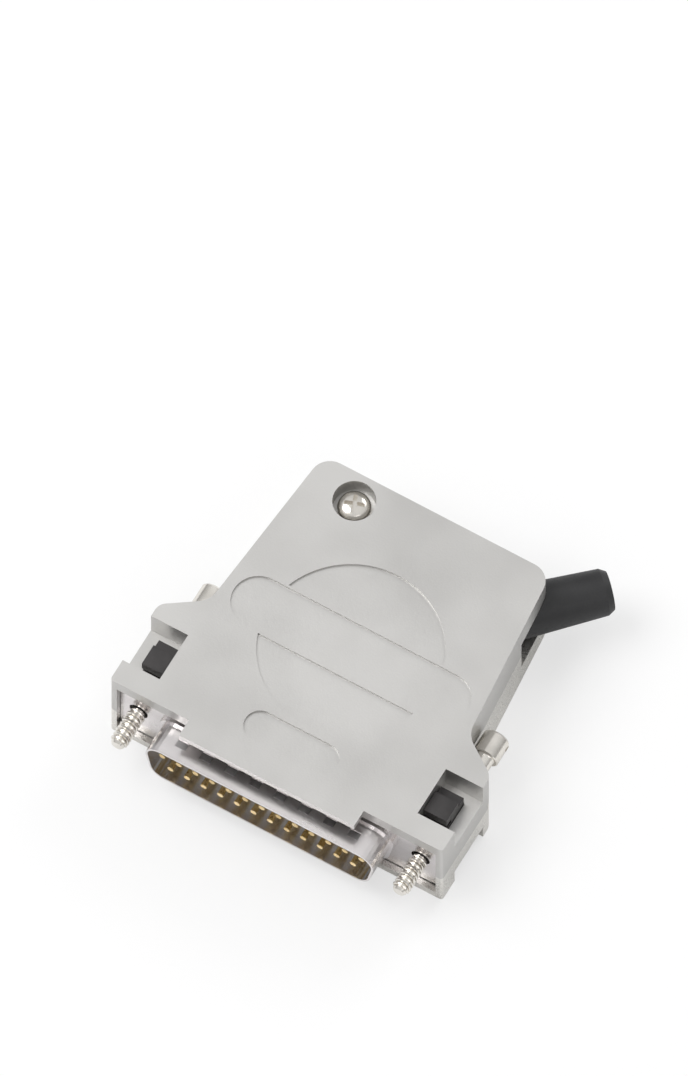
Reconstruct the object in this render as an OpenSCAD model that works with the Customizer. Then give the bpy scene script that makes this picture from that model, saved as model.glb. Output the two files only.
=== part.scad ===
// Die-cast D-sub hood for a 25-way plug, with a 45-degree cable exit.
// X runs along the connector, Y from its flange face back into the hood, Z up.
// The origin is the centre of the flange face, on the parting plane of the hood.

/* [Connector] */
// Spacing of the two flange holes
hole_pitch = 47.04; // [46.8:0.02:47.6]
// Distance from a flange hole to the end of the flange
flange_end = 3; // [2.8:0.02:3.4]
// Distance from a flange hole to the D-shaped front shell
plug_margin = 4.04; // [3.8:0.02:4.4]
// Distance from a flange hole to the rear body
body_margin = 3.07; // [3:0.01:3.6]
// Half the room between the outermost contacts and the flange holes
row_margin = 6.9; // [6.8:0.05:7.2]
// Height of the connector flange
flange_h = 12.55; // [12:0.05:14]
// Sheet thickness of the front shell
front_sheet = 0.6; // [0.4:0.05:0.8]
// Sheet thickness of the rear shell
rear_sheet = 0.5; // [0.4:0.05:0.7]
// Diameter of the flange holes
hole_d = 3.05; // [3.05:0.05:3.3]
// Outer height of the D-shaped front shell
plug_h = 8.36; // [8:0.02:9]
// How far the D-shaped shell stands out of the flange
plug_len = 5.9; // [5.4:0.1:6.6]
// Outer height of the rear body
body_h = 10.8; // [10:0.1:11.4]
// Length of the rear shell behind the flange face
body_len = 6.4; // [5.6:0.1:8]
// Distance between the two rows
row_pitch = 2.84; // [2.7:0.01:3]
// Contacts in the longer row
long_row = 13; // [11:1:13]
// Diameter of a contact pin
pin_d = 1; // [0.8:0.05:1.1]
// Diameter of a solder cup
cup_d = 1.9; // [1.7:0.05:2.1]
// How far the pins stand out of the flange face
pin_reach = 5.2; // [4.4:0.1:5.6]
// How far the solder cups reach behind the flange face
cup_reach = 11.6; // [10.6:0.1:12.6]

/* [Hood] */
// Thickness of the two cast plates
plate_t = 1.5; // [1.2:0.1:2.2]
// Thickness of the cast side walls
wall = 1.3; // [1.15:0.05:1.6]
// Thickness of the lug walls beside the flange
flange_wall = 1.1; // [0.9:0.05:1.1]
// Distance from the flange face to the rear edge
hood_len = 45.7; // [44.5:0.1:50]
// Distance from a jackscrew axis in to the waist behind the lugs
waist_inset = 1.92; // [1.9:0.02:2.2]
// Distance from a jackscrew axis in to the rear corner
rear_inset = 4.52; // [4.2:0.02:5]
// Distance from the flange face to the waist
waist_y = 17.2; // [16.8:0.1:18]
// Distance from the flange face to the rear of the lugs
lug_len = 13; // [12.8:0.1:14]
// Radius of the rear corners
corner_r = 3; // [2:0.1:4]
// How far the hood stands in front of the flange face
front_lip = 1; // [0.8:0.1:1.4]
// Width of the front tabs
tab_w = 29.2; // [26:0.1:32]
// How far the front tabs stand out
tab_len = 2.8; // [2:0.1:3.4]
// How far the cover wraps down over the parting plane at the lugs
lug_wrap = 1.4; // [1:0.1:1.8]

/* [Lugs and clips] */
// Length of the recess in each lug
recess_len = 8.2; // [7.8:0.1:8.4]
// Depth of the recess in the cover
cover_recess = 4.7; // [4.4:0.1:4.7]
// Depth of the recess in the base
base_recess = 3; // [2.6:0.1:3.4]
// Width of a retaining clip
clip_w = 3.8; // [3.6:0.05:3.9]
// Depth of a retaining clip head
clip_len = 5; // [4.8:0.05:5.2]
// Height of the clip head above the parting plane
clip_top = 6.4; // [5:0.1:6.6]

/* [Jackscrews] */
// Shank diameter of a jackscrew
jack_d = 3; // [2.8:0.05:3.1]
// Thread diameter of a jackscrew, 4-40 UNC
thread_d = 2.84; // [2.5:0.02:2.86]
// Diameter of the groove that a clip grips
groove_d = 1.9; // [1.7:0.05:2]
// Head diameter of a jackscrew
jack_head_d = 4.2; // [4:0.1:4.6]
// Head length of a jackscrew
jack_head_len = 3.8; // [3.2:0.1:4.4]
// How far the threaded tip stands in front of the flange face
tip_reach = 6.4; // [5.6:0.1:7.4]

/* [Cable exit] */
// Distance of the clamp centre from the side at the rear
exit_inset = 10.3; // [10.2:0.05:10.5]
// Distance of the clamp centre from the rear edge
exit_rear = 11.9; // [11.8:0.05:12.1]
// Angle of the cable exit
exit_angle = 45; // [44:0.5:46]
// Spacing of the two clamp screws
clamp_pitch = 16.6; // [16.2:0.1:16.8]
// Outer diameter of the cable saddle
saddle_d = 9.2; // [8.8:0.1:9.4]
// Bore of the cable saddle between its ribs
saddle_bore = 7.4; // [7:0.1:7.6]
// Length of the cable saddle
saddle_len = 6.4; // [6:0.1:6.6]
// Outer diameter of the grommet sleeve at its root
sleeve_d = 8.1; // [7.6:0.1:8.3]
// Outer diameter of the grommet sleeve at its tip
sleeve_tip_d = 7; // [6.6:0.1:7.4]
// Bore of the grommet
grommet_bore = 5.6; // [5:0.1:6]
// Length of the sleeve outside the grommet plate
sleeve_len = 16.4; // [14:0.1:18]
// Thickness of the grommet flange
flange_rubber = 1.2; // [1:0.1:1.2]
// Thickness of the grommet plate
grommet_plate_t = 2.6; // [2.4:0.1:2.6]
// Half height of the porch opening round the sleeve
porch_z = 3.6; // [3.4:0.1:3.8]

/* [Screws and strap] */
// Distance of the cover screw from the side at the rear
cover_screw_side = 7.5; // [7:0.1:8]
// Distance of the cover screw from the rear edge
cover_screw_inset = 4.2; // [4:0.1:4.6]
// Shank diameter of the cover screw
cover_screw_d = 2.9; // [2.5:0.1:3]
// Head diameter of the cover screw
cover_head_d = 5; // [4.6:0.1:5.2]
// Shank diameter of the clamp screws
clamp_screw_d = 2.5; // [2.2:0.1:2.6]
// Head diameter of the clamp screws
clamp_head_d = 4.2; // [3.8:0.1:4.4]
// Sheet thickness of the clamp strap
strap_t = 0.8; // [0.6:0.05:1]
// Width of the clamp strap
strap_w = 4.6; // [4.2:0.1:5]

/* [Fits] */
// Clearance round the flange between the lug walls
flange_gap = 0.08; // [0.05:0.01:0.15]
// Clearance above and below the flange
flange_rise = 0.225; // [0.15:0.025:0.3]
// Clearance between a clip and its window
clip_gap = 0.1; // [0.08:0.01:0.12]
// Radial clearance of a jackscrew in its bearings
jack_gap = 0.1; // [0.05:0.01:0.1]
// Clearance of the pieces that drop into the cable channel
drop_gap = 0.1; // [0.06:0.01:0.12]
// Radial clearance of a screw in its hole
screw_gap = 0.1; // [0.05:0.01:0.15]

/* [Hidden] */
$fn = 48;

die_cast = [0.80, 0.79, 0.77];
bright_nickel = [0.88, 0.87, 0.84];
black_plastic = [0.13, 0.12, 0.12];
black_rubber = [0.10, 0.10, 0.10];
tin = [0.85, 0.83, 0.82];
insulator_grey = [0.62, 0.66, 0.70];
gold = [0.83, 0.66, 0.30];

far = 80;                                   // reach of a cut that runs out of the part
cut = 1;                                    // overrun of a cut past a face
sink = 0.3;                                 // overlap of features of one casting
arc_steps = 7;                              // straight steps in one rounded corner

flange_w = hole_pitch + 2 * flange_end;
plug_w = hole_pitch - 2 * plug_margin;
body_w = hole_pitch - 2 * body_margin;
contact_pitch = (hole_pitch - 2 * row_margin) / (long_row - 1);
waist_x = hole_pitch / 2 - waist_inset;
rear_w = hole_pitch - 2 * rear_inset;
exit_x = rear_w / 2 - exit_inset;
exit_y = hood_len - exit_rear;
cover_screw_x = rear_w / 2 - cover_screw_side;
flange_t = front_sheet + rear_sheet;
lug_x = flange_w / 2 + flange_gap + flange_wall;
half_t = flange_h / 2 + flange_rise + plate_t;
floor_z = half_t - plate_t;                 // inner faces of both plates
jack_x = hole_pitch / 2;
window_w = clip_w + 2 * clip_gap;
window_len = clip_len + 2 * clip_gap;
lug_in_x = jack_x - window_w / 2;           // recess side of the inner lug wall
lug_wall = 0.8;
recess_y = flange_t + 1.5;
recess_web = 1.2;
window_y = recess_y + (recess_len - window_len) / 2;
pocket_front = window_y;                    // rear face of the front lug block
cover_shelf = half_t - cover_recess;        // outer face of the cover's recess floor
base_shelf = half_t - base_recess;
shelf_t = 1.2;
bearing_r = jack_d / 2 + jack_gap;
collar_d = jack_d + 0.6;
collar_len = 1.2;
front_bearing_r = collar_d / 2 + jack_gap;

clip_y = window_y + clip_gap;
clip_stem_len = clip_len - 1;
clip_stem_y = clip_y + 0.5;
clip_foot = half_t - 0.7;
clip_shoulder = 3;
cap_t = 1.2;
cap_step = 1.6;
notch_depth = 1.3;
notch_low = 2.6;
notch_high = 1.6;
thread_relief = 0.2;
relief_d = 2.2;
fork_gap = 2.4;
fork_t = 1;
groove_slack = 0.1;
ring_room = jack_d / 2 + 0.2;
collar_y = flange_t + 0.3;
slot_w = 0.8;
slot_depth = 1.4;
shell_t = 0.4;
shoulder = 0.7;
shoulder_len = 1.1;
face_rise = 0.7;
split_y = 2.8;
cup_depth = 3.6;
dimples = 8;
dimple_pitch = 4.1;
dimple_w = 1.9;
disc_y = 20.6;
disc_r = 13.7;
pill_x = 15.4;
pill_r = 4.1;
pill_edge = 0.35;
tag_y = 3.4;
tag_x = 5.2;
tag_r = 2.45;
relief = 0.4;
mark_r = 1.9;
mark_depth = 0.15;
ejector_marks = [[-11.2, 33.5], [-14.4, 22.5], [1.2, 27.5], [-18.2, 3.8], [0.3, 3.8], [18.2, 3.8],
    [-4.4, 39.3], [15.6, 22]];
jack_head_y = waist_y + 1.3;

saddle_t0 = 0.35 - saddle_len / 2;          // along the exit axis from the clamp centre
channel_wall = 1.2;
rib_w = 1.7;
rib_t0 = saddle_t0 + saddle_len - rib_w;
grommet_t0 = rib_t0 + rib_w + drop_gap + 0.3;
plate_t0 = grommet_t0 + flange_rubber;
exit_wall_t0 = plate_t0 + grommet_plate_t + drop_gap;
exit_wall_t1 = exit_wall_t0 + channel_wall;
grommet_half_w = 5.7;
plate_half_w = 5.9;
tongue_half_w = 9;
tongue_t = 1.2;
tongue_z = 2.4;
plate_z = floor_z - 0.15;
plate_r = 2.6;
grommet_z = 5.4;
grommet_r = 3.2;
boss_r = 3;
block_w = 5.6;
counterbore = 3;
cover_screw_tip = -5.6;
clamp_screw_tip = -5.4;
tip_chamfer = 0.4;
cross_len = 2.6;
cross_w = 0.7;
cross_depth = 1.1;
ear_r = 2.6;
tab_reach = 3;
tab_side_0 = 2.4;
tab_side_1 = 6.2;
tab_window = 1.7;
ring_pitch = 0.75;
ring_groove = 0.35;
ring_rise = 0.3;
fit_in_body = 0.05;
strap_crown = saddle_bore / 2 - 0.2;

hood_corners = [[lug_x, -front_lip, 0.5], [lug_x, lug_len, 2], [waist_x, waist_y, 3.5],
    [rear_w / 2, hood_len, corner_r], [-rear_w / 2, hood_len, corner_r],
    [-waist_x, waist_y, 3.5], [-lug_x, lug_len, 2], [-lug_x, -front_lip, 0.5]];

// Two-dimensional helpers for outlines with rounded corners
function at(list, i) = list[(i + len(list)) % len(list)];
function xy(p) = [p[0], p[1]];
function unit(v) = v / norm(v);
function turned(v, a) = [v[0] * cos(a) - v[1] * sin(a), v[0] * sin(a) + v[1] * cos(a)];
function side(a, b, c) = sign(cross(xy(b) - xy(a), xy(c) - xy(b)));

function corner_arc(a, b, c) =
    let (
        u = unit(xy(a) - xy(b)),
        v = unit(xy(c) - xy(b)),
        half = acos(u * v) / 2,
        centre = xy(b) + unit(u + v) * b[2] / sin(half),
        start = xy(b) + u * b[2] / tan(half) - centre,
        sweep = (180 - 2 * half) * side(a, b, c)
    )
    [for (k = [0:arc_steps]) centre + turned(start, sweep * k / arc_steps)];

function rounded(corners) = [for (i = [0:len(corners) - 1])
    each corner_arc(at(corners, i - 1), corners[i], at(corners, i + 1))];

function moved_in(a, b, c, d) =
    let (
        n1 = turned(unit(xy(b) - xy(a)), 90),
        n2 = turned(unit(xy(c) - xy(b)), 90),
        p = xy(b) + d * (n1 + n2) / (1 + n1 * n2)
    )
    [p[0], p[1], max(b[2] - d * side(a, b, c), 0.3)];

function inset(corners, d) = [for (i = [0:len(corners) - 1])
    moved_in(at(corners, i - 1), corners[i], at(corners, i + 1), d)];

// D-shaped corners of a connector profile, wide side up
function d_corners(w, h, r) =
    let (taper = h * tan(10))
    [[w / 2 - taper, -h / 2, r], [w / 2, h / 2, r], [-w / 2, h / 2, r], [-w / 2 + taper, -h / 2, r]];

function box_corners(w, h, r) =
    [[w / 2, -h / 2, r], [w / 2, h / 2, r], [-w / 2, h / 2, r], [-w / 2, -h / 2, r]];

// Upright slab between two heights
module slab(corners, z0, z1) {
    translate([0, 0, z0])
        linear_extrude(z1 - z0)
            polygon(rounded(corners));
}

// Prism along Y between two depths
module prism(corners, y0, y1) {
    translate([0, y1, 0])
        rotate([90, 0, 0])
            linear_extrude(y1 - y0)
                polygon(rounded(corners));
}

module box(x0, x1, y0, y1, z0, z1) {
    translate([x0, y0, z0])
        cube([x1 - x0, y1 - y0, z1 - z0]);
}

module rod_y(r, y0, y1) {
    translate([0, y1, 0])
        rotate([90, 0, 0])
            cylinder(r = r, h = y1 - y0);
}

module rod_x(r, x0, x1, r2 = 0) {
    translate([x0, 0, 0])
        rotate([0, 90, 0])
            cylinder(r1 = r, r2 = r2 > 0 ? r2 : r, h = x1 - x0);
}

module both_sides() {
    children();
    mirror([1, 0, 0])
        children();
}

// Frame of the cable exit: X outwards along the cable, Y towards clamp screw A
module at_exit() {
    translate([exit_x, exit_y, 0])
        rotate([0, 0, exit_angle])
            children();
}

module at_clamp_screws() {
    at_exit()
        for (s = [-1, 1])
            translate([0, s * clamp_pitch / 2, 0])
                children();
}

module at_cover_screw() {
    translate([-cover_screw_x, hood_len - cover_screw_inset, 0])
        children();
}

// Walls of one half of the hood, from the parting plane to its plate
module half_walls() {
    difference() {
        slab(hood_corners, -half_t, 0);
        slab(inset(hood_corners, wall), -floor_z, cut);
        box(-lug_x + flange_wall, lug_x - flange_wall, -front_lip - cut, flange_t, -floor_z, cut);
        at_exit()
            box(exit_wall_t1, far, -far, far, -floor_z, cut);
    }
}

// Inside of one half of the hood, used to trim what stands in it
module half_inside() {
    intersection() {
        slab(inset(hood_corners, wall - sink), -half_t + sink, 0);
        box(-far, far, flange_t, far, -half_t, 0);
        children();
    }
}

// Walls and block round one jackscrew, in the lower half
module lug_inside(shelf) {
    box(lug_in_x - lug_wall, lug_in_x, flange_t, waist_y, -floor_z - sink, 0);
    box(lug_in_x - lug_wall, lug_x, flange_t, pocket_front, -floor_z - sink, 0);
    box(lug_in_x - lug_wall, lug_x, flange_t, recess_y + recess_len + recess_web, -floor_z - sink,
        shelf_t - shelf);
}

// Recess, window and screw bearings of one lug, in the lower half
module lug_cuts(shelf) {
    box(lug_in_x, far, recess_y, recess_y + recess_len, -far, -shelf);
    translate([jack_x, 0, 0]) {
        box(-window_w / 2, window_w / 2, window_y, window_y + window_len, -far, -shelf + shelf_t + cut);
        rod_y(front_bearing_r, -far, pocket_front + cut);
        rod_y(bearing_r, 0, waist_y + jack_head_len);
        rod_y(jack_head_d / 2 + 3 * jack_gap, jack_head_y - jack_gap * 3, far);
    }
}

// Solid ground of the cable channel, in the lower half
module channel_inside() {
    half_inside()
        at_exit() {
            box(saddle_t0, saddle_t0 + channel_wall, -clamp_pitch / 2, clamp_pitch / 2, -half_t, 0);
            box(rib_t0, rib_t0 + rib_w, -clamp_pitch / 2 - boss_r, clamp_pitch / 2 + boss_r, -half_t, 0);
            box(exit_wall_t0, exit_wall_t1 + sink, -far, far, -half_t, 0);
        }
}

// Porch outside the exit wall, in the lower half
module porch() {
    intersection() {
        slab(hood_corners, -half_t, -porch_z);
        at_exit()
            box(exit_wall_t1 - sink, far, -far, far, -half_t, 0);
    }
}

// Room for the grommet and its plate, in both halves
module grommet_room() {
    at_exit() {
        rod_x(sleeve_d / 2 + drop_gap, exit_wall_t0 - cut, far);
        box(plate_t0 - drop_gap, exit_wall_t0, -plate_half_w - drop_gap, plate_half_w + drop_gap,
            -floor_z, floor_z);
        box(plate_t0 - tongue_t / 2 - drop_gap, plate_t0 + tongue_t / 2 + drop_gap,
            -tongue_half_w - drop_gap, tongue_half_w + drop_gap, -tongue_z - drop_gap,
            tongue_z + drop_gap);
    }
}

// Half-round seats of the cable saddle, in the lower half
module saddle_room() {
    at_exit()
        rod_x(saddle_d / 2 + drop_gap, saddle_t0 - cut, rib_t0 + rib_w + cut);
}

module base_shell() {
    color(die_cast)
        difference() {
            union() {
                half_walls();
                both_sides()
                    half_inside()
                        lug_inside(base_shelf);
                half_inside()
                    at_cover_screw()
                        translate([0, 0, -half_t])
                            cylinder(r = boss_r + 0.6, h = half_t);
                channel_inside();
                half_inside()
                    at_exit() {
                        box(-block_w / 2, rib_t0, clamp_pitch / 2 - 2.1, clamp_pitch / 2 + block_w / 2,
                            -half_t, 0);
                        translate([0, -clamp_pitch / 2, -half_t])
                            cylinder(r = boss_r, h = half_t);
                    }
                porch();
                box(-tab_w / 2, tab_w / 2, -front_lip - tab_len, -front_lip + sink, -half_t,
                    -half_t + plate_t - 0.4);
                at_cover_screw()
                    cylinder(r = 2.3, h = 0.4);
            }
            both_sides() {
                box(lug_x - flange_wall - drop_gap, far, -far, lug_len - 1 + drop_gap, -lug_wrap, cut);
                lug_cuts(base_shelf);
            }
            grommet_room();
            saddle_room();
            for (p = ejector_marks)
                translate([p[0], p[1], -floor_z - mark_depth])
                    cylinder(r = mark_r, h = cut);
            at_clamp_screws()
                translate([0, 0, -floor_z])
                    cylinder(d = clamp_screw_d + 2 * screw_gap, h = floor_z + cut);
            at_cover_screw()
                translate([0, 0, -floor_z])
                    cylinder(d = cover_screw_d + 2 * screw_gap, h = floor_z + cut);
        }
}

// Shallow disc and two long round-ended fields sunk into the top of the cover
module cover_relief() {
    difference() {
        translate([0, disc_y, half_t - relief])
            cylinder(r = disc_r, h = cut);
        pill(disc_y, pill_x, pill_r + pill_edge, half_t - cut, cut);
    }
    pill(disc_y, pill_x, pill_r, half_t - relief, cut);
    pill(tag_y, tag_x, tag_r, half_t - relief, cut);
}

module pill(y, x, r, z, h) {
    translate([0, y, z]) {
        box(-x, x, -r, r, 0, h);
        for (s = [-1, 1])
            translate([s * x, 0, 0])
                cylinder(r = r, h = h);
    }
}

module cover_shell() {
    color(die_cast)
        difference() {
            union() {
                mirror([0, 0, 1]) {
                    half_walls();
                    both_sides()
                        half_inside()
                            lug_inside(cover_shelf);
                    half_inside()
                        at_cover_screw()
                            translate([0, 0, -half_t])
                                cylinder(r = boss_r + 0.6, h = half_t);
                    half_inside()
                        at_exit()
                            box(exit_wall_t0, exit_wall_t1 + sink, -far, far, -half_t, 0);
                    porch();
                    box(-tab_w / 2, tab_w / 2, -front_lip - tab_len, -front_lip + sink, -half_t,
                        -half_t + plate_t - 0.4);
                }
                both_sides()
                    intersection() {
                        slab(hood_corners, -lug_wrap, sink);
                        box(lug_x - flange_wall, far, -far, lug_len - 1, -far, far);
                    }
                box(-lug_x + flange_wall, lug_x - flange_wall, -front_lip, -flange_gap,
                    flange_h / 2 - 0.5, floor_z + sink);
            }
            mirror([0, 0, 1])
                both_sides()
                    lug_cuts(cover_shelf);
            grommet_room();
            at_cover_screw() {
                translate([0, 0, -cut])
                    cylinder(d = cover_screw_d + 2 * screw_gap, h = far);
                translate([0, 0, half_t - 3])
                    cylinder(d = cover_head_d + 1.4, h = far);
                translate([0, 0, -cut])
                    cylinder(r = 2.4, h = cut + 0.45);
            }
            cover_relief();
        }
}

// Pan head screw with a cross recess, seated at the given height
module pan_screw(shank_d, tip_z, seat_z, head_d, head_h) {
    difference() {
        union() {
            translate([0, 0, tip_z])
                cylinder(d1 = shank_d - 2 * tip_chamfer, d2 = shank_d, h = tip_chamfer);
            translate([0, 0, tip_z + tip_chamfer])
                cylinder(d = shank_d, h = seat_z - tip_z);
            translate([0, 0, seat_z])
                cylinder(d = head_d, h = head_h / 2);
            translate([0, 0, seat_z + head_h / 2])
                cylinder(d1 = head_d, d2 = head_d * 0.72, h = head_h / 2);
        }
        for (a = [0, 90])
            rotate([0, 0, a])
                box(-cross_len / 2, cross_len / 2, -cross_w / 2, cross_w / 2,
                    seat_z + head_h - cross_depth, far);
    }
}

module cover_screw() {
    color(bright_nickel)
        at_cover_screw()
            pan_screw(cover_screw_d, cover_screw_tip, half_t - counterbore, cover_head_d, 2.2);
}

module clamp_screw(s) {
    color(bright_nickel)
        at_exit()
            translate([0, s * clamp_pitch / 2, 0])
                pan_screw(clamp_screw_d, clamp_screw_tip, strap_t, clamp_head_d, 1.9);
}

module clamp_screw_a() {
    clamp_screw(1);
}

module clamp_screw_b() {
    clamp_screw(-1);
}

module clamp_strap() {
    color(bright_nickel)
        at_exit()
            difference() {
                union() {
                    for (s = [-1, 1])
                        translate([0, s * clamp_pitch / 2, 0])
                            cylinder(r = ear_r, h = strap_t);
                    box(-strap_w / 2, strap_w / 2, -clamp_pitch / 2, clamp_pitch / 2, 0, strap_t);
                    difference() {
                        rod_x(strap_crown + strap_t, -strap_w / 2, strap_w / 2);
                        box(-far, far, -far, far, -far, 0);
                    }
                    box(-strap_w / 2 - tab_reach, 0, tab_side_0, tab_side_1, 0, strap_t);
                }
                rod_x(strap_crown, -far, far);
                translate([-strap_w / 2 - tab_reach / 2, (tab_side_0 + tab_side_1) / 2, strap_t / 2])
                    cube([tab_window, tab_window, far], center = true);
                for (s = [-1, 1])
                    translate([0, s * clamp_pitch / 2, -cut])
                        cylinder(d = clamp_screw_d + 2 * screw_gap, h = far);
            }
}

module cable_saddle() {
    ring_0 = saddle_t0 + ring_pitch;
    ring_1 = saddle_t0 + saddle_len - ring_pitch - ring_groove;
    color(bright_nickel)
        at_exit()
            difference() {
                rod_x(saddle_d / 2, saddle_t0, saddle_t0 + saddle_len);
                rod_x(saddle_bore / 2 - ring_rise, -far, far);
                rod_x(saddle_bore / 2, ring_0 + 2 * ring_pitch, ring_1 - 2 * ring_pitch + ring_groove);
                for (k = [0:1])
                    for (t = [ring_0 + k * ring_pitch, ring_1 - k * ring_pitch])
                        rod_x(saddle_bore / 2, t, t + ring_groove);
                box(-far, far, -far, far, 0, far);
            }
}

module grommet_plate() {
    color(bright_nickel)
        at_exit()
            difference() {
                union() {
                    panel(box_corners(2 * plate_half_w, 2 * plate_z, plate_r), plate_t0,
                        plate_t0 + grommet_plate_t);
                    for (s = [-1, 1]) {
                        tongue(s, plate_half_w - 1, plate_t0);
                        tongue(s, plate_half_w, plate_t0 - tongue_t / 2);
                    }
                }
                rod_x(sleeve_d / 2 + fit_in_body, -far, far);
            }
}

module tongue(s, y0, t0) {
    mirror([0, s < 0 ? 1 : 0, 0])
        box(t0, plate_t0 + tongue_t / 2, y0, tongue_half_w, -tongue_z, tongue_z);
}

module cable_grommet() {
    sleeve_end = plate_t0 + grommet_plate_t + sleeve_len;
    color(black_rubber)
        at_exit()
            difference() {
                union() {
                    panel(box_corners(2 * grommet_half_w, 2 * grommet_z, grommet_r), grommet_t0, plate_t0);
                    rod_x(sleeve_d / 2, plate_t0 - sink, exit_wall_t1);
                    rod_x(sleeve_d / 2, exit_wall_t1, sleeve_end - 1, sleeve_tip_d / 2);
                    rod_x(sleeve_tip_d / 2, sleeve_end - 1, sleeve_end, sleeve_tip_d / 2 - 0.6);
                }
                rod_x(grommet_bore / 2, -far, far);
            }
}

// Plate standing across the cable exit
module panel(corners, t0, t1) {
    translate([t0, 0, 0])
        rotate([90, 0, 90])
            linear_extrude(t1 - t0)
                polygon(rounded(corners));
}

module jackscrew() {
    color(bright_nickel)
        translate([jack_x, 0, 0])
            difference() {
                union() {
                    rod_y(thread_d / 2, -tip_reach, -thread_relief);
                    rod_y(relief_d / 2, -thread_relief - sink, collar_y + sink);
                    rod_y(collar_d / 2, collar_y, collar_y + collar_len);
                    rod_y(jack_d / 2, collar_y + sink, clip_stem_y - groove_slack);
                    rod_y(groove_d / 2, collar_y + collar_len, jack_head_y);
                    rod_y(jack_d / 2, clip_stem_y + fork_t + groove_slack,
                        clip_stem_y + clip_stem_len - fork_t - groove_slack);
                    rod_y(jack_d / 2, clip_stem_y + clip_stem_len + groove_slack, jack_head_y + sink);
                    rod_y(jack_head_d / 2, jack_head_y, jack_head_y + jack_head_len);
                }
                box(-far, far, jack_head_y + jack_head_len - slot_depth, far, -slot_w / 2, slot_w / 2);
            }
}

module jackscrew_right() {
    jackscrew();
}

module jackscrew_left() {
    mirror([1, 0, 0])
        jackscrew();
}

module retaining_clip() {
    stem_end = clip_stem_y + clip_stem_len;
    color(black_plastic)
        translate([jack_x, 0, 0])
            difference() {
                union() {
                    box(-clip_w / 2, clip_w / 2, clip_y, clip_y + clip_len, clip_shoulder, clip_top - cap_t);
                    box(-clip_w / 2, clip_w / 2, clip_y, clip_y + clip_len - cap_step,
                        clip_top - cap_t - sink, clip_top);
                    box(-clip_w / 2, clip_w / 2, clip_stem_y, stem_end, -clip_foot, clip_shoulder);
                }
                box(-fork_gap / 2, fork_gap / 2, -far, far, -far, fork_gap / 2);
                box(-far, far, clip_stem_y + fork_t, stem_end - fork_t, -far, ring_room);
                box(-far, far, -far, clip_y + notch_depth, clip_top - notch_low, clip_top - notch_high);
            }
}

module retaining_clip_right() {
    retaining_clip();
}

module retaining_clip_left() {
    mirror([1, 0, 0])
        retaining_clip();
}

module flange_holes() {
    for (s = [-1, 1])
        translate([s * jack_x, 0, 0])
            rod_y(hole_d / 2, -far, far);
}

module connector_front_shell() {
    color(tin)
        difference() {
            union() {
                prism(box_corners(flange_w, flange_h, 1.5), 0, front_sheet);
                prism(d_corners(plug_w + 2 * shoulder, plug_h + 2 * shoulder, 3.2), -shoulder_len, sink);
                prism(d_corners(plug_w, plug_h, 2.6), -plug_len, 0);
            }
            prism(d_corners(plug_w - 2 * shell_t, plug_h - 2 * shell_t, 2.2), -far, far);
            flange_holes();
            for (k = [0:dimples - 1])
                translate([(k - (dimples - 1) / 2) * dimple_pitch, 0, 0])
                    box(-dimple_w / 2, dimple_w / 2, -plug_len + 1.9, -plug_len + 3.2,
                        plug_h / 2 - 0.12, far);
        }
}

module connector_rear_shell() {
    color(tin)
        difference() {
            union() {
                prism(box_corners(flange_w, flange_h, 1.5), front_sheet, flange_t);
                prism(box_corners(body_w, body_h, 2.4), front_sheet, body_len);
            }
            prism(box_corners(body_w - 2 * shell_t, body_h - 2 * shell_t, 2), -far, far);
            flange_holes();
        }
}

module front_insulator() {
    color(insulator_grey)
        difference() {
            union() {
                prism(d_corners(plug_w - 2 * shell_t - 2 * fit_in_body, plug_h - 2 * shell_t - 2 * fit_in_body,
                    2.1), -face_rise, front_sheet + sink);
                prism(box_corners(body_w - 2 * shell_t - 2 * fit_in_body,
                    body_h - 2 * shell_t - 2 * fit_in_body, 1.9), front_sheet, split_y);
            }
            contact_holes(pin_d / 2 + fit_in_body);
        }
}

module rear_insulator() {
    color(insulator_grey)
        difference() {
            prism(box_corners(body_w - 2 * shell_t - 2 * fit_in_body,
                body_h - 2 * shell_t - 2 * fit_in_body, 1.9), split_y, body_len + 0.6);
            contact_holes(cup_d / 2 + fit_in_body);
        }
}

module row_places(count, z) {
    for (k = [0:count - 1])
        translate([(k - (count - 1) / 2) * contact_pitch, 0, z])
            children();
}

module contact_holes(r) {
    row_places(long_row, row_pitch / 2)
        rod_y(r, -far, far, $fn = 20);
    row_places(long_row - 1, -row_pitch / 2)
        rod_y(r, -far, far, $fn = 20);
}

// One pin with its solder cup, the cup open upwards
module contact() {
    difference() {
        union() {
            rod_y(pin_d / 2, -pin_reach, split_y + sink, $fn = 16);
            rod_y(cup_d / 2, split_y, cup_reach, $fn = 16);
        }
        rod_y(cup_d / 2 - 0.3, cup_reach - cup_depth, far, $fn = 16);
        box(-far, far, cup_reach - cup_depth + 0.6, far, 0.25, far);
    }
}

module contacts_long_row() {
    color(gold)
        row_places(long_row, row_pitch / 2)
            contact();
}

module contacts_short_row() {
    color(gold)
        row_places(long_row - 1, -row_pitch / 2)
            mirror([0, 0, 1])
                contact();
}

base_shell();
cover_shell();
cover_screw();
clamp_strap();
clamp_screw_a();
clamp_screw_b();
cable_saddle();
grommet_plate();
cable_grommet();
jackscrew_left();
jackscrew_right();
retaining_clip_left();
retaining_clip_right();
connector_front_shell();
connector_rear_shell();
front_insulator();
rear_insulator();
contacts_long_row();
contacts_short_row();
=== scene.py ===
import math
import bpy
import bmesh
from mathutils import Matrix, Vector


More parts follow.
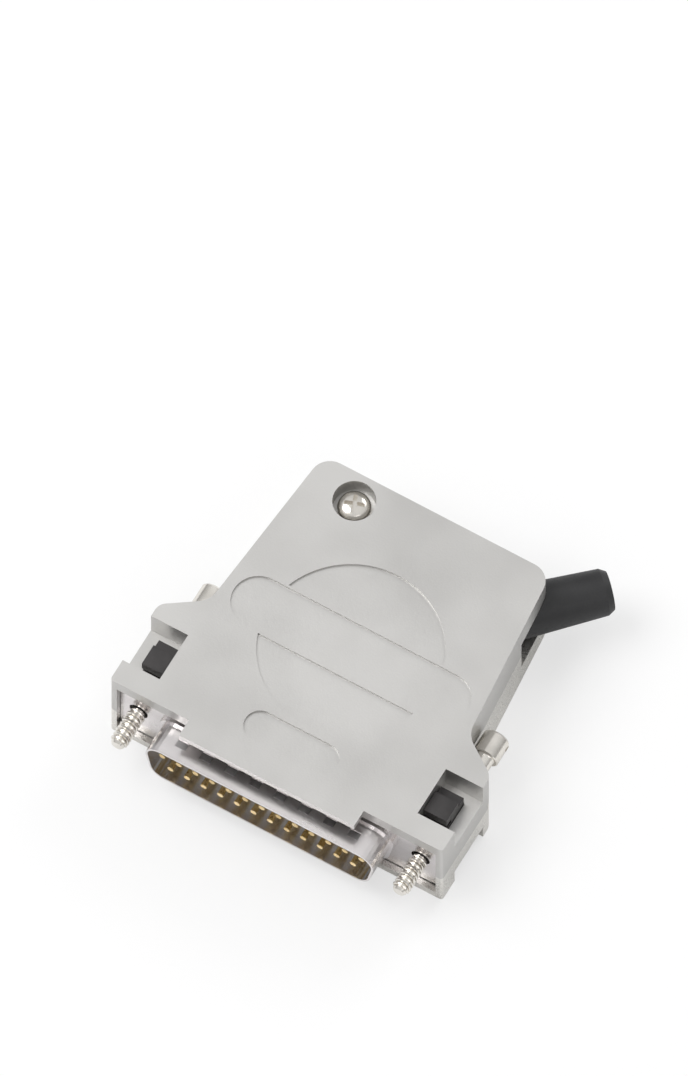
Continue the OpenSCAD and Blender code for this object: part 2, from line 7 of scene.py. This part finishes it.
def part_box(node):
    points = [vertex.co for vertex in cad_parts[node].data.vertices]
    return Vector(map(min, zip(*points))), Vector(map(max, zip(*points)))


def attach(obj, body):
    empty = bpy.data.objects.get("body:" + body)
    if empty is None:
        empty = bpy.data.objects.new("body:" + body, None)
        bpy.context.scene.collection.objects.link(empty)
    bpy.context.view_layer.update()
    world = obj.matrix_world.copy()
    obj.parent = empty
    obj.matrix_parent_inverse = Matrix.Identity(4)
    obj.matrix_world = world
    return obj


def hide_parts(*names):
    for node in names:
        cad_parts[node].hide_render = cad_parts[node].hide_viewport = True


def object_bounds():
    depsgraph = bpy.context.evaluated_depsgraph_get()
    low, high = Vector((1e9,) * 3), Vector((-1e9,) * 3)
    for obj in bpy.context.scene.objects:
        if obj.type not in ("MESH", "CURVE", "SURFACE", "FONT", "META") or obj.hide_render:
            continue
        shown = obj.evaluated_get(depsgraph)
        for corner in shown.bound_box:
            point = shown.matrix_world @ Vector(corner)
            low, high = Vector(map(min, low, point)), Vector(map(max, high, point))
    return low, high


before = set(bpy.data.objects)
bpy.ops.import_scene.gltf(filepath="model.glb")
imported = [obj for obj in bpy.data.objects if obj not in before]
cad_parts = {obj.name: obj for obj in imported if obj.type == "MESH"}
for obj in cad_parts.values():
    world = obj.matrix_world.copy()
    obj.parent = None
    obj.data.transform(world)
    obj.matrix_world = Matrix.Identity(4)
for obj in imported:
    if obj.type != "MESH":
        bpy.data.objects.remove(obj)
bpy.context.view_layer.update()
mm = 0.001

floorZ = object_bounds()[0][2]  # underside of the hood
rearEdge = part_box("base_shell")[1][1]
hoodLength = 46.7  # front edge to rear edge, in millimetres


def addGroup(name, inputs, outputs):
    tree = bpy.data.node_groups.new(name, "ShaderNodeTree")
    for label, kind, value in inputs:
        socket = tree.interface.new_socket(name=label, in_out="INPUT", socket_type=kind)
        if value is not None:
            socket.default_value = value
    for label, kind in outputs:
        tree.interface.new_socket(name=label, in_out="OUTPUT", socket_type=kind)
    return tree, tree.nodes.new("NodeGroupInput"), tree.nodes.new("NodeGroupOutput")


def addNode(tree, kind, values=None, **settings):
    node = tree.nodes.new(kind)
    for key, value in settings.items():
        setattr(node, key, value)
    for key, value in (values or {}).items():
        node.inputs[key].default_value = value
    return node


def makeSurfaceGroup():  # fine grain, broad unevenness and a roughness that varies with both
    tree, given, result = addGroup(
        "surfaceGrain",
        [("Grain Scale", "NodeSocketFloat", 2500.0), ("Grain Depth", "NodeSocketFloat", 0.1),
         ("Wave Scale", "NodeSocketFloat", 160.0), ("Wave Depth", "NodeSocketFloat", 0.05),
         ("Stretch", "NodeSocketVector", (1.0, 1.0, 1.0)),
         ("Smooth", "NodeSocketFloat", 0.25), ("Rough", "NodeSocketFloat", 0.45)],
        [("Normal", "NodeSocketVector"), ("Roughness", "NodeSocketFloat"), ("Mottle", "NodeSocketFloat")])
    link = tree.links.new
    place = addNode(tree, "ShaderNodeTexCoord")
    scaled = addNode(tree, "ShaderNodeVectorMath", operation="MULTIPLY")
    link(place.outputs["Object"], scaled.inputs[0])
    link(given.outputs["Stretch"], scaled.inputs[1])
    grain = addNode(tree, "ShaderNodeTexNoise", {"Detail": 3.0, "Roughness": 0.6})
    wave = addNode(tree, "ShaderNodeTexNoise", {"Detail": 2.0, "Roughness": 0.5})
    for texture, label in ((grain, "Grain Scale"), (wave, "Wave Scale")):
        link(scaled.outputs[0], texture.inputs["Vector"])
        link(given.outputs[label], texture.inputs["Scale"])
    broad = addNode(tree, "ShaderNodeBump", {"Distance": 0.00025})
    fine = addNode(tree, "ShaderNodeBump", {"Distance": 0.000012})
    link(wave.outputs["Fac"], broad.inputs["Height"])
    link(given.outputs["Wave Depth"], broad.inputs["Strength"])
    link(grain.outputs["Fac"], fine.inputs["Height"])
    link(given.outputs["Grain Depth"], fine.inputs["Strength"])
    link(broad.outputs["Normal"], fine.inputs["Normal"])
    link(fine.outputs["Normal"], result.inputs["Normal"])
    blend = addNode(tree, "ShaderNodeMath", operation="ADD")
    link(grain.outputs["Fac"], blend.inputs[0])
    link(wave.outputs["Fac"], blend.inputs[1])
    spread = addNode(tree, "ShaderNodeMapRange", {"From Min": 0.75, "From Max": 1.25})
    link(blend.outputs[0], spread.inputs["Value"])
    link(given.outputs["Smooth"], spread.inputs["To Min"])
    link(given.outputs["Rough"], spread.inputs["To Max"])
    link(spread.outputs["Result"], result.inputs["Roughness"])
    link(wave.outputs["Fac"], result.inputs["Mottle"])
    return tree


surfaceGroup = makeSurfaceGroup()


def makeMaterial(name, look):
    material = bpy.data.materials.new(name)
    material.use_nodes = True
    tree = material.node_tree
    shader = tree.nodes["Principled BSDF"]
    shader.inputs["Metallic"].default_value = look["metallic"]
    for label, value in look.get("sockets", {}).items():
        shader.inputs[label].default_value = value
    grain = tree.nodes.new("ShaderNodeGroup")
    grain.node_tree = surfaceGroup
    for label, value in look["grain"].items():
        grain.inputs[label].default_value = value
    tone = addNode(tree, "ShaderNodeMix", data_type="RGBA")
    tone.inputs["A"].default_value = (*look["dark"], 1.0)
    tone.inputs["B"].default_value = (*look["light"], 1.0)
    spread = addNode(tree, "ShaderNodeMapRange", {"From Min": 0.35, "From Max": 0.65})
    tree.links.new(grain.outputs["Mottle"], spread.inputs["Value"])
    tree.links.new(spread.outputs["Result"], tone.inputs["Factor"])
    tree.links.new(tone.outputs["Result"], shader.inputs["Base Color"])
    tree.links.new(grain.outputs["Roughness"], shader.inputs["Roughness"])
    tree.links.new(grain.outputs["Normal"], shader.inputs["Normal"])
    return material


looks = {
    "coverMetal": {
        "metallic": 1.0, "dark": (0.535, 0.527, 0.513), "light": (0.575, 0.567, 0.553),
        "grain": {"Grain Scale": 3000.0, "Grain Depth": 1.0, "Wave Scale": 60.0, "Wave Depth": 0.03,
                  "Smooth": 0.36, "Rough": 0.46}},
    "baseMetal": {
        "metallic": 1.0, "dark": (0.71, 0.695, 0.66), "light": (0.78, 0.765, 0.73),
        "grain": {"Grain Scale": 2400.0, "Grain Depth": 0.3, "Wave Scale": 130.0, "Wave Depth": 0.05,
                  "Smooth": 0.25, "Rough": 0.31}},
    "screwMetal": {
        "metallic": 1.0, "dark": (0.72, 0.69, 0.64), "light": (0.82, 0.79, 0.74),
        "grain": {"Grain Scale": 2600.0, "Grain Depth": 0.12, "Wave Scale": 400.0, "Wave Depth": 0.05,
                  "Smooth": 0.18, "Rough": 0.26}},
    "strapMetal": {
        "metallic": 1.0, "dark": (0.72, 0.68, 0.61), "light": (0.82, 0.78, 0.70),
        "grain": {"Grain Scale": 2200.0, "Grain Depth": 0.2, "Wave Scale": 300.0, "Wave Depth": 0.1,
                  "Smooth": 0.18, "Rough": 0.32}},
    "tinMetal": {
        "metallic": 1.0, "dark": (0.72, 0.69, 0.69), "light": (0.84, 0.81, 0.81),
        "grain": {"Grain Scale": 1800.0, "Grain Depth": 0.1, "Wave Scale": 180.0, "Wave Depth": 0.025,
                  "Stretch": (0.15, 1.0, 1.0), "Smooth": 0.2, "Rough": 0.28}},
    # painted shade: a dark tone that stands in for the shade inside the pressed dimple recesses
    "dimpleShadeMetal": {
        "metallic": 1.0, "dark": (0.26, 0.25, 0.25), "light": (0.34, 0.33, 0.33),
        "grain": {"Grain Scale": 1800.0, "Grain Depth": 0.1, "Wave Scale": 300.0, "Wave Depth": 0.03,
                  "Smooth": 0.3, "Rough": 0.4}},
    "goldPlate": {
        "metallic": 1.0, "dark": (0.72, 0.52, 0.22), "light": (0.86, 0.68, 0.36),
        "grain": {"Grain Scale": 2600.0, "Grain Depth": 0.1, "Wave Scale": 600.0, "Wave Depth": 0.05,
                  "Smooth": 0.2, "Rough": 0.34}},
    "greyPlastic": {
        "metallic": 0.0, "dark": (0.52, 0.56, 0.60), "light": (0.62, 0.66, 0.70),
        "grain": {"Grain Scale": 2400.0, "Grain Depth": 0.2, "Wave Scale": 200.0, "Wave Depth": 0.05,
                  "Smooth": 0.4, "Rough": 0.55}},
    "clipPlastic": {
        "metallic": 0.0, "dark": (0.020, 0.018, 0.018), "light": (0.036, 0.032, 0.032),
        "grain": {"Grain Scale": 2600.0, "Grain Depth": 0.3, "Wave Scale": 300.0, "Wave Depth": 0.1,
                  "Smooth": 0.32, "Rough": 0.5}},
    "blackRubber": {
        "metallic": 0.0, "dark": (0.010, 0.010, 0.011), "light": (0.018, 0.018, 0.019),
        "grain": {"Grain Scale": 3600.0, "Grain Depth": 0.5, "Wave Scale": 220.0, "Wave Depth": 0.08,
                  "Smooth": 0.46, "Rough": 0.62}},
}
materials = {name: makeMaterial(name, look) for name, look in looks.items()}


dressed = {  # CAD nodes shown as they are: finish, and rounded edges in millimetres
    "base_shell": ("baseMetal", 0.16), "cover_shell": ("coverMetal", 0.2),
    "clamp_strap": ("strapMetal", 0.12), "cable_saddle": ("strapMetal", 0.08),
    "grommet_plate": ("strapMetal", 0.15), "cable_grommet": ("blackRubber", 0.2),
    "retaining_clip_left": ("clipPlastic", 0.12), "retaining_clip_right": ("clipPlastic", 0.12),
    "connector_front_shell": ("tinMetal", 0.06), "connector_rear_shell": ("tinMetal", 0.1),
    "front_insulator": ("greyPlastic", 0.08), "rear_insulator": ("greyPlastic", 0.12),
    "contacts_long_row": ("goldPlate", 0.06), "contacts_short_row": ("goldPlate", 0.06),
}


def dressNode(name, finish, edge):
    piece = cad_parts[name]
    for index in range(max(1, len(piece.material_slots))):
        if index < len(piece.material_slots):
            piece.material_slots[index].material = materials[finish]
        else:
            piece.data.materials.append(materials[finish])
    bevel = piece.modifiers.new("roundedEdges", "BEVEL")
    bevel.width = edge * mm
    bevel.segments = 2
    bevel.limit_method = "ANGLE"
    bevel.angle_limit = math.radians(38)
    bevel.harden_normals = True
    bevel.use_clamp_overlap = True


for name, (finish, edge) in dressed.items():
    dressNode(name, finish, edge)
print("CAD nodes dressed")


def makeThreadTree():  # a rolled thread as a swept spiral
    tree = bpy.data.node_groups.new("rolledThread", "GeometryNodeTree")
    sockets = {}
    for label, kind in (("Centre Radius", "NodeSocketFloat"), ("Ridge Radius", "NodeSocketFloat"),
                        ("Turns", "NodeSocketFloat"), ("Length", "NodeSocketFloat"),
                        ("Steps", "NodeSocketInt"), ("Finish", "NodeSocketMaterial")):
        sockets[label] = tree.interface.new_socket(name=label, in_out="INPUT", socket_type=kind).identifier
    tree.interface.new_socket(name="Geometry", in_out="OUTPUT", socket_type="NodeSocketGeometry")
    given, result = tree.nodes.new("NodeGroupInput"), tree.nodes.new("NodeGroupOutput")
    spiral = tree.nodes.new("GeometryNodeCurveSpiral")
    ridge = tree.nodes.new("GeometryNodeCurvePrimitiveCircle")
    ridge.inputs["Resolution"].default_value = 6
    sweep = tree.nodes.new("GeometryNodeCurveToMesh")
    sweep.inputs["Fill Caps"].default_value = True
    real = tree.nodes.new("GeometryNodeRealizeInstances")
    paint = tree.nodes.new("GeometryNodeSetMaterial")
    link = tree.links.new
    for label, socket in (("Centre Radius", "Start Radius"), ("Centre Radius", "End Radius"),
                          ("Turns", "Rotations"), ("Length", "Height"), ("Steps", "Resolution")):
        link(given.outputs[label], spiral.inputs[socket])
    link(given.outputs["Ridge Radius"], ridge.inputs["Radius"])
    link(spiral.outputs["Curve"], sweep.inputs["Curve"])
    link(ridge.outputs["Curve"], sweep.inputs["Profile Curve"])
    link(sweep.outputs["Mesh"], real.inputs["Geometry"])
    link(real.outputs["Geometry"], paint.inputs["Geometry"])
    link(given.outputs["Finish"], paint.inputs["Material"])
    link(paint.outputs["Geometry"], result.inputs["Geometry"])
    return tree, sockets


threadTree, threadSockets = makeThreadTree()


def bakedMesh(piece):
    view = bpy.context.evaluated_depsgraph_get()
    return bpy.data.meshes.new_from_object(piece.evaluated_get(view), depsgraph=view)


def newObject(name, mesh):
    piece = bpy.data.objects.new(name, mesh)
    bpy.context.scene.collection.objects.link(piece)
    return piece


def latheMesh(name, profile, around=40):  # profile of (distance from the tip, radius) in millimetres
    work = bmesh.new()
    rings = []
    for height, radius in profile:
        rings.append([work.verts.new((radius * mm * math.cos(2 * math.pi * k / around),
                                      radius * mm * math.sin(2 * math.pi * k / around), height * mm))
                      for k in range(around)])
    for lower, upper in zip(rings, rings[1:]):
        for k in range(around):
            work.faces.new((lower[k], lower[(k + 1) % around], upper[(k + 1) % around], upper[k]))
    work.faces.new(list(reversed(rings[0])))
    work.faces.new(rings[-1])
    mesh = bpy.data.meshes.new(name)
    work.to_mesh(mesh)
    work.free()
    return mesh


def boxMesh(name, size, centre):
    work = bmesh.new()
    bmesh.ops.create_cube(work, size=1.0, matrix=Matrix.Translation(Vector(centre) * mm) @ Matrix.Diagonal(
        (size[0] * mm, size[1] * mm, size[2] * mm, 1.0)))
    mesh = bpy.data.meshes.new(name)
    work.to_mesh(mesh)
    work.free()
    return mesh


def makeThread(name, thread):
    piece = newObject(name, bpy.data.meshes.new(name))
    swirl = piece.modifiers.new("rolledThread", "NODES")
    swirl.node_group = threadTree
    ridge = (thread["outer"] - thread["core"]) * 0.62
    turns = (thread["end"] - thread["start"]) / thread["pitch"]
    for label, value in (("Centre Radius", (thread["outer"] - ridge) * mm), ("Ridge Radius", ridge * mm),
                         ("Turns", turns), ("Length", (thread["end"] - thread["start"]) * mm),
                         ("Steps", 28), ("Finish", materials["screwMetal"])):
        swirl[threadSockets[label]] = value
    mesh = bakedMesh(piece)
    bpy.data.objects.remove(piece)
    mesh.transform(Matrix.Translation((0.0, 0.0, thread["start"] * mm)))
    return mesh


def makeScrew(look):
    turned = newObject(look["name"], latheMesh(look["name"], look["profile"]))
    cutters = [newObject("cutter", boxMesh("cutter", size, centre)) for size, centre in look["cuts"]]
    for cutter in cutters:
        carve = turned.modifiers.new("carve", "BOOLEAN")
        carve.operation = "DIFFERENCE"
        carve.solver = "EXACT"
        carve.object = cutter
    mesh = bakedMesh(turned)
    for spare in [turned] + cutters:
        bpy.data.objects.remove(spare)
    work = bmesh.new()
    work.from_mesh(mesh)
    work.from_mesh(makeThread(look["name"] + "Thread", look["thread"]))
    done = bpy.data.meshes.new(look["name"])
    work.to_mesh(done)
    work.free()
    done.transform(look["place"])
    done.materials.append(materials["screwMetal"])
    done.polygons.foreach_set("material_index", [0] * len(done.polygons))
    done.polygons.foreach_set("use_smooth", [True] * len(done.polygons))
    done.set_sharp_from_angle(angle=math.radians(35))
    piece = newObject(look["name"], done)
    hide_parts(look["node"])
    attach(piece, look["body"])


def middle(node):
    low, high = [Vector(c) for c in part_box(node)]
    return (low + high) / 2, low


jackProfile = [  # thread, collar, shank, two grooves with a ring between them, shank, slotted head
    (0.0, 0.85), (0.35, 1.1), (7.6, 1.1), (7.8, 1.1), (7.8, 1.74), (7.9, 1.8), (8.9, 1.8), (9.0, 1.74),
    (9.0, 1.5), (10.9, 1.5), (11.0, 1.4), (11.0, 0.95), (12.2, 0.95), (12.2, 1.4), (12.3, 1.5), (13.9, 1.5),
    (14.0, 1.4), (14.0, 0.95), (15.2, 0.95), (15.2, 1.4), (15.3, 1.5), (24.7, 1.5), (24.9, 1.6),
    (24.9, 1.95), (25.05, 2.1), (28.4, 2.1), (28.7, 1.8)]
for side in ("left", "right"):
    centre, low = middle("jackscrew_" + side)
    makeScrew({
        "name": "jackscrew" + side.capitalize(), "node": "jackscrew_" + side, "body": "jackscrew_" + side,
        "profile": jackProfile,
        "thread": {"start": 0.55, "end": 5.85, "core": 1.1, "outer": 1.42, "pitch": 0.635},
        "cuts": [((6.0, 0.8, 1.6), (0.0, 0.0, 28.1))],
        "place": Matrix.Translation((centre.x, low.y, centre.z))
                 @ Matrix.Rotation(math.radians(-90), 4, "X")})


def panProfile(length, shank, seat, head, height):  # pan head, rounded over the top
    return [(0.0, shank * 0.55), (0.5, shank * 0.8), (seat - 0.9, shank * 0.8), (seat - 0.7, shank),
            (seat, shank), (seat, head * 0.96), (seat + 0.08, head), (seat + 0.45 * height, head),
            (seat + 0.68 * height, head * 0.93), (seat + 0.86 * height, head * 0.76),
            (seat + 0.97 * height, head * 0.5), (length, head * 0.28)]


panScrews = {
    "coverScrew": {"node": "cover_screw", "body": "cover_screw", "shank": 1.42, "seat": 10.6, "head": 2.5,
                   "height": 2.2, "pitch": 0.8, "cross": 3.0},
    "clampScrewA": {"node": "clamp_screw_a", "body": "clamp_screws", "shank": 1.22, "seat": 6.2, "head": 2.1,
                    "height": 1.9, "pitch": 0.6, "cross": 2.6},
    "clampScrewB": {"node": "clamp_screw_b", "body": "clamp_screws", "shank": 1.22, "seat": 6.2, "head": 2.1,
                    "height": 1.9, "pitch": 0.6, "cross": 2.6},
}
crossSlot, crossDeep = 0.62, 2.4  # width and height of the cutter for a cross recess
for name, look in panScrews.items():
    centre, low = middle(look["node"])
    length = look["seat"] + look["height"]
    makeScrew({
        "name": name, "node": look["node"], "body": look["body"],
        "profile": panProfile(length, look["shank"], look["seat"], look["head"], look["height"]),
        "thread": {"start": 0.6, "end": look["seat"] - 1.1, "core": look["shank"] * 0.78,
                   "outer": look["shank"], "pitch": look["pitch"]},
        "cuts": [((look["cross"], crossSlot, crossDeep), (0.0, 0.0, length)),
                 ((crossSlot, look["cross"], crossDeep), (0.0, 0.0, length))],
        "place": Matrix.Translation((centre.x, centre.y, low.z)) @ Matrix.Rotation(math.radians(20), 4, "Z")})
print("screws turned")


def makeDimpleTree():  # a row of flat boxes: dark plates of painted shade for the pressed dimples
    tree = bpy.data.node_groups.new("dimpleRow", "GeometryNodeTree")
    sockets = {}
    for label, kind in (("Count", "NodeSocketInt"), ("Start", "NodeSocketVector"),
                        ("Step", "NodeSocketVector"),
                        ("Size", "NodeSocketVector"), ("Finish", "NodeSocketMaterial")):
        sockets[label] = tree.interface.new_socket(name=label, in_out="INPUT", socket_type=kind).identifier
    tree.interface.new_socket(name="Geometry", in_out="OUTPUT", socket_type="NodeSocketGeometry")
    given, result = tree.nodes.new("NodeGroupInput"), tree.nodes.new("NodeGroupOutput")
    row = tree.nodes.new("GeometryNodeMeshLine")
    block = tree.nodes.new("GeometryNodeMeshCube")
    repeat = tree.nodes.new("GeometryNodeInstanceOnPoints")
    real = tree.nodes.new("GeometryNodeRealizeInstances")
    paint = tree.nodes.new("GeometryNodeSetMaterial")
    link = tree.links.new
    link(given.outputs["Count"], row.inputs["Count"])
    link(given.outputs["Start"], row.inputs["Start Location"])
    link(given.outputs["Step"], row.inputs["Offset"])
    link(given.outputs["Size"], block.inputs["Size"])
    link(row.outputs["Mesh"], repeat.inputs["Points"])
    link(block.outputs["Mesh"], repeat.inputs["Instance"])
    link(repeat.outputs["Instances"], real.inputs["Geometry"])
    link(real.outputs["Geometry"], paint.inputs["Geometry"])
    link(given.outputs["Finish"], paint.inputs["Material"])
    link(paint.outputs["Geometry"], result.inputs["Geometry"])
    return tree, sockets


# dark plates on the floor of the recesses that the shell has, painted shade for the pressed dimples
dimples = {"count": 8, "pitch": 4.1, "size": (1.7, 1.1, 0.1), "fromFront": 2.55, "topZ": 4.08}


def addDimpleShade(look):
    tree, sockets = makeDimpleTree()
    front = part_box("connector_front_shell")[0][1]
    piece = newObject("dimpleShadePlates", bpy.data.meshes.new("dimpleShadePlates"))
    row = piece.modifiers.new("dimpleRow", "NODES")
    row.node_group = tree
    start = (-(look["count"] - 1) / 2 * look["pitch"] * mm, front + look["fromFront"] * mm,
             (look["topZ"] - look["size"][2] / 2) * mm)
    for label, value in (("Count", look["count"]), ("Start", start), ("Step", (look["pitch"] * mm, 0.0, 0.0)),
                         ("Size", tuple(side * mm for side in look["size"])),
                         ("Finish", materials["dimpleShadeMetal"])):
        row[sockets[label]] = value
    mesh = bakedMesh(piece)
    piece.modifiers.remove(row)
    piece.data = mesh
    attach(piece, "connector")


addDimpleShade(dimples)
print("dimples pressed")


def addFloor():  # pale, and it keeps the shadow
    bpy.ops.mesh.primitive_plane_add(size=3.0, location=(0.0, 0.0, floorZ - 0.00002))
    plane = bpy.context.object
    plane.name = "studioFloor"
    material = bpy.data.materials.new("studioFloor")
    material.use_nodes = True
    tree = material.node_tree
    shader = tree.nodes["Principled BSDF"]
    shader.inputs["Base Color"].default_value = (0.86, 0.86, 0.86, 1.0)
    shader.inputs["Roughness"].default_value = 0.9
    glow = addNode(tree, "ShaderNodeEmission", {"Color": (1.0, 1.0, 1.0, 1.0), "Strength": 1.0})
    path = addNode(tree, "ShaderNodeLightPath")
    share = addNode(tree, "ShaderNodeMath", {1: 0.55}, operation="MULTIPLY")
    mix = addNode(tree, "ShaderNodeMixShader")
    tree.links.new(path.outputs["Is Camera Ray"], share.inputs[0])
    tree.links.new(share.outputs[0], mix.inputs[0])
    tree.links.new(shader.outputs[0], mix.inputs[1])
    tree.links.new(glow.outputs[0], mix.inputs[2])
    tree.links.new(mix.outputs[0], tree.nodes["Material Output"].inputs["Surface"])
    plane.data.materials.append(material)


def addWorld():
    world = bpy.data.worlds.new("studioWorld")
    bpy.context.scene.world = world
    world.use_nodes = True
    tree = world.node_tree
    background = tree.nodes["Background"]
    background.inputs["Color"].default_value = (1.0, 1.0, 1.0, 1.0)
    path = addNode(tree, "ShaderNodeLightPath")
    place = addNode(tree, "ShaderNodeTexCoord")
    split = addNode(tree, "ShaderNodeSeparateXYZ")
    ramp = addNode(tree, "ShaderNodeMapRange", {"From Min": -0.3, "From Max": 1.0,
                   "To Min": 0.22, "To Max": 0.84})
    choose = addNode(tree, "ShaderNodeMix", data_type="FLOAT")
    choose.inputs["B"].default_value = 1.0
    tree.links.new(place.outputs["Generated"], split.inputs[0])
    tree.links.new(split.outputs["Z"], ramp.inputs["Value"])
    tree.links.new(path.outputs["Is Camera Ray"], choose.inputs["Factor"])
    tree.links.new(ramp.outputs["Result"], choose.inputs["A"])
    tree.links.new(choose.outputs["Result"], background.inputs["Strength"])


lights = {
    "keyLight": {"place": (-0.35, -0.1, 0.6), "size": 0.5, "power": 2.4},
    "fillLight": {"place": (0.5, -0.35, 0.45), "size": 0.5, "power": 0.6},
    "backLight": {"place": (0.15, 0.6, 0.4), "size": 0.3, "power": 1.0},
}


def addLight(name, look):
    lamp = bpy.data.lights.new(name, "AREA")
    lamp.shape = "DISK"
    lamp.size = look["size"]
    lamp.energy = look["power"]
    holder = bpy.data.objects.new(name, lamp)
    bpy.context.scene.collection.objects.link(holder)
    holder.location = look["place"]
    aim = Vector((0.0, 0.02, 0.03)) - holder.location
    holder.rotation_euler = aim.to_track_quat("-Z", "Y").to_euler()


# high enough in the frame to hold the part taken apart as well
camera = {"azimuth": 30.0, "elevation": 64.0, "across": 9.8, "upward": 39.9, "height": 155.5, "distance": 0.9}


def addCamera(look):
    turn, lift = math.radians(look["azimuth"]), math.radians(look["elevation"])
    right = Vector((math.cos(turn), math.sin(turn), 0.0))
    up = Vector((-math.sin(turn) * math.sin(lift), math.cos(turn) * math.sin(lift), math.cos(lift)))
    toward = right.cross(up)
    origin = Vector((0.0, rearEdge - hoodLength * mm, floorZ))
    target = origin + (right * look["across"] + up * look["upward"]) * mm
    lens = bpy.data.cameras.new("camera")
    lens.type = "ORTHO"
    lens.ortho_scale = look["height"] * mm
    lens.clip_start = 0.01
    lens.clip_end = 10.0
    holder = bpy.data.objects.new("camera", lens)
    bpy.context.scene.collection.objects.link(holder)
    holder.matrix_world = Matrix.Translation(target + toward * look["distance"]) @ Matrix(
        (right, up, toward)).transposed().to_4x4()
    bpy.context.scene.camera = holder


addFloor()
addWorld()
for name, look in lights.items():
    addLight(name, look)
addCamera(camera)
bpy.context.scene.view_settings.view_transform = "Standard"
print("studio ready")
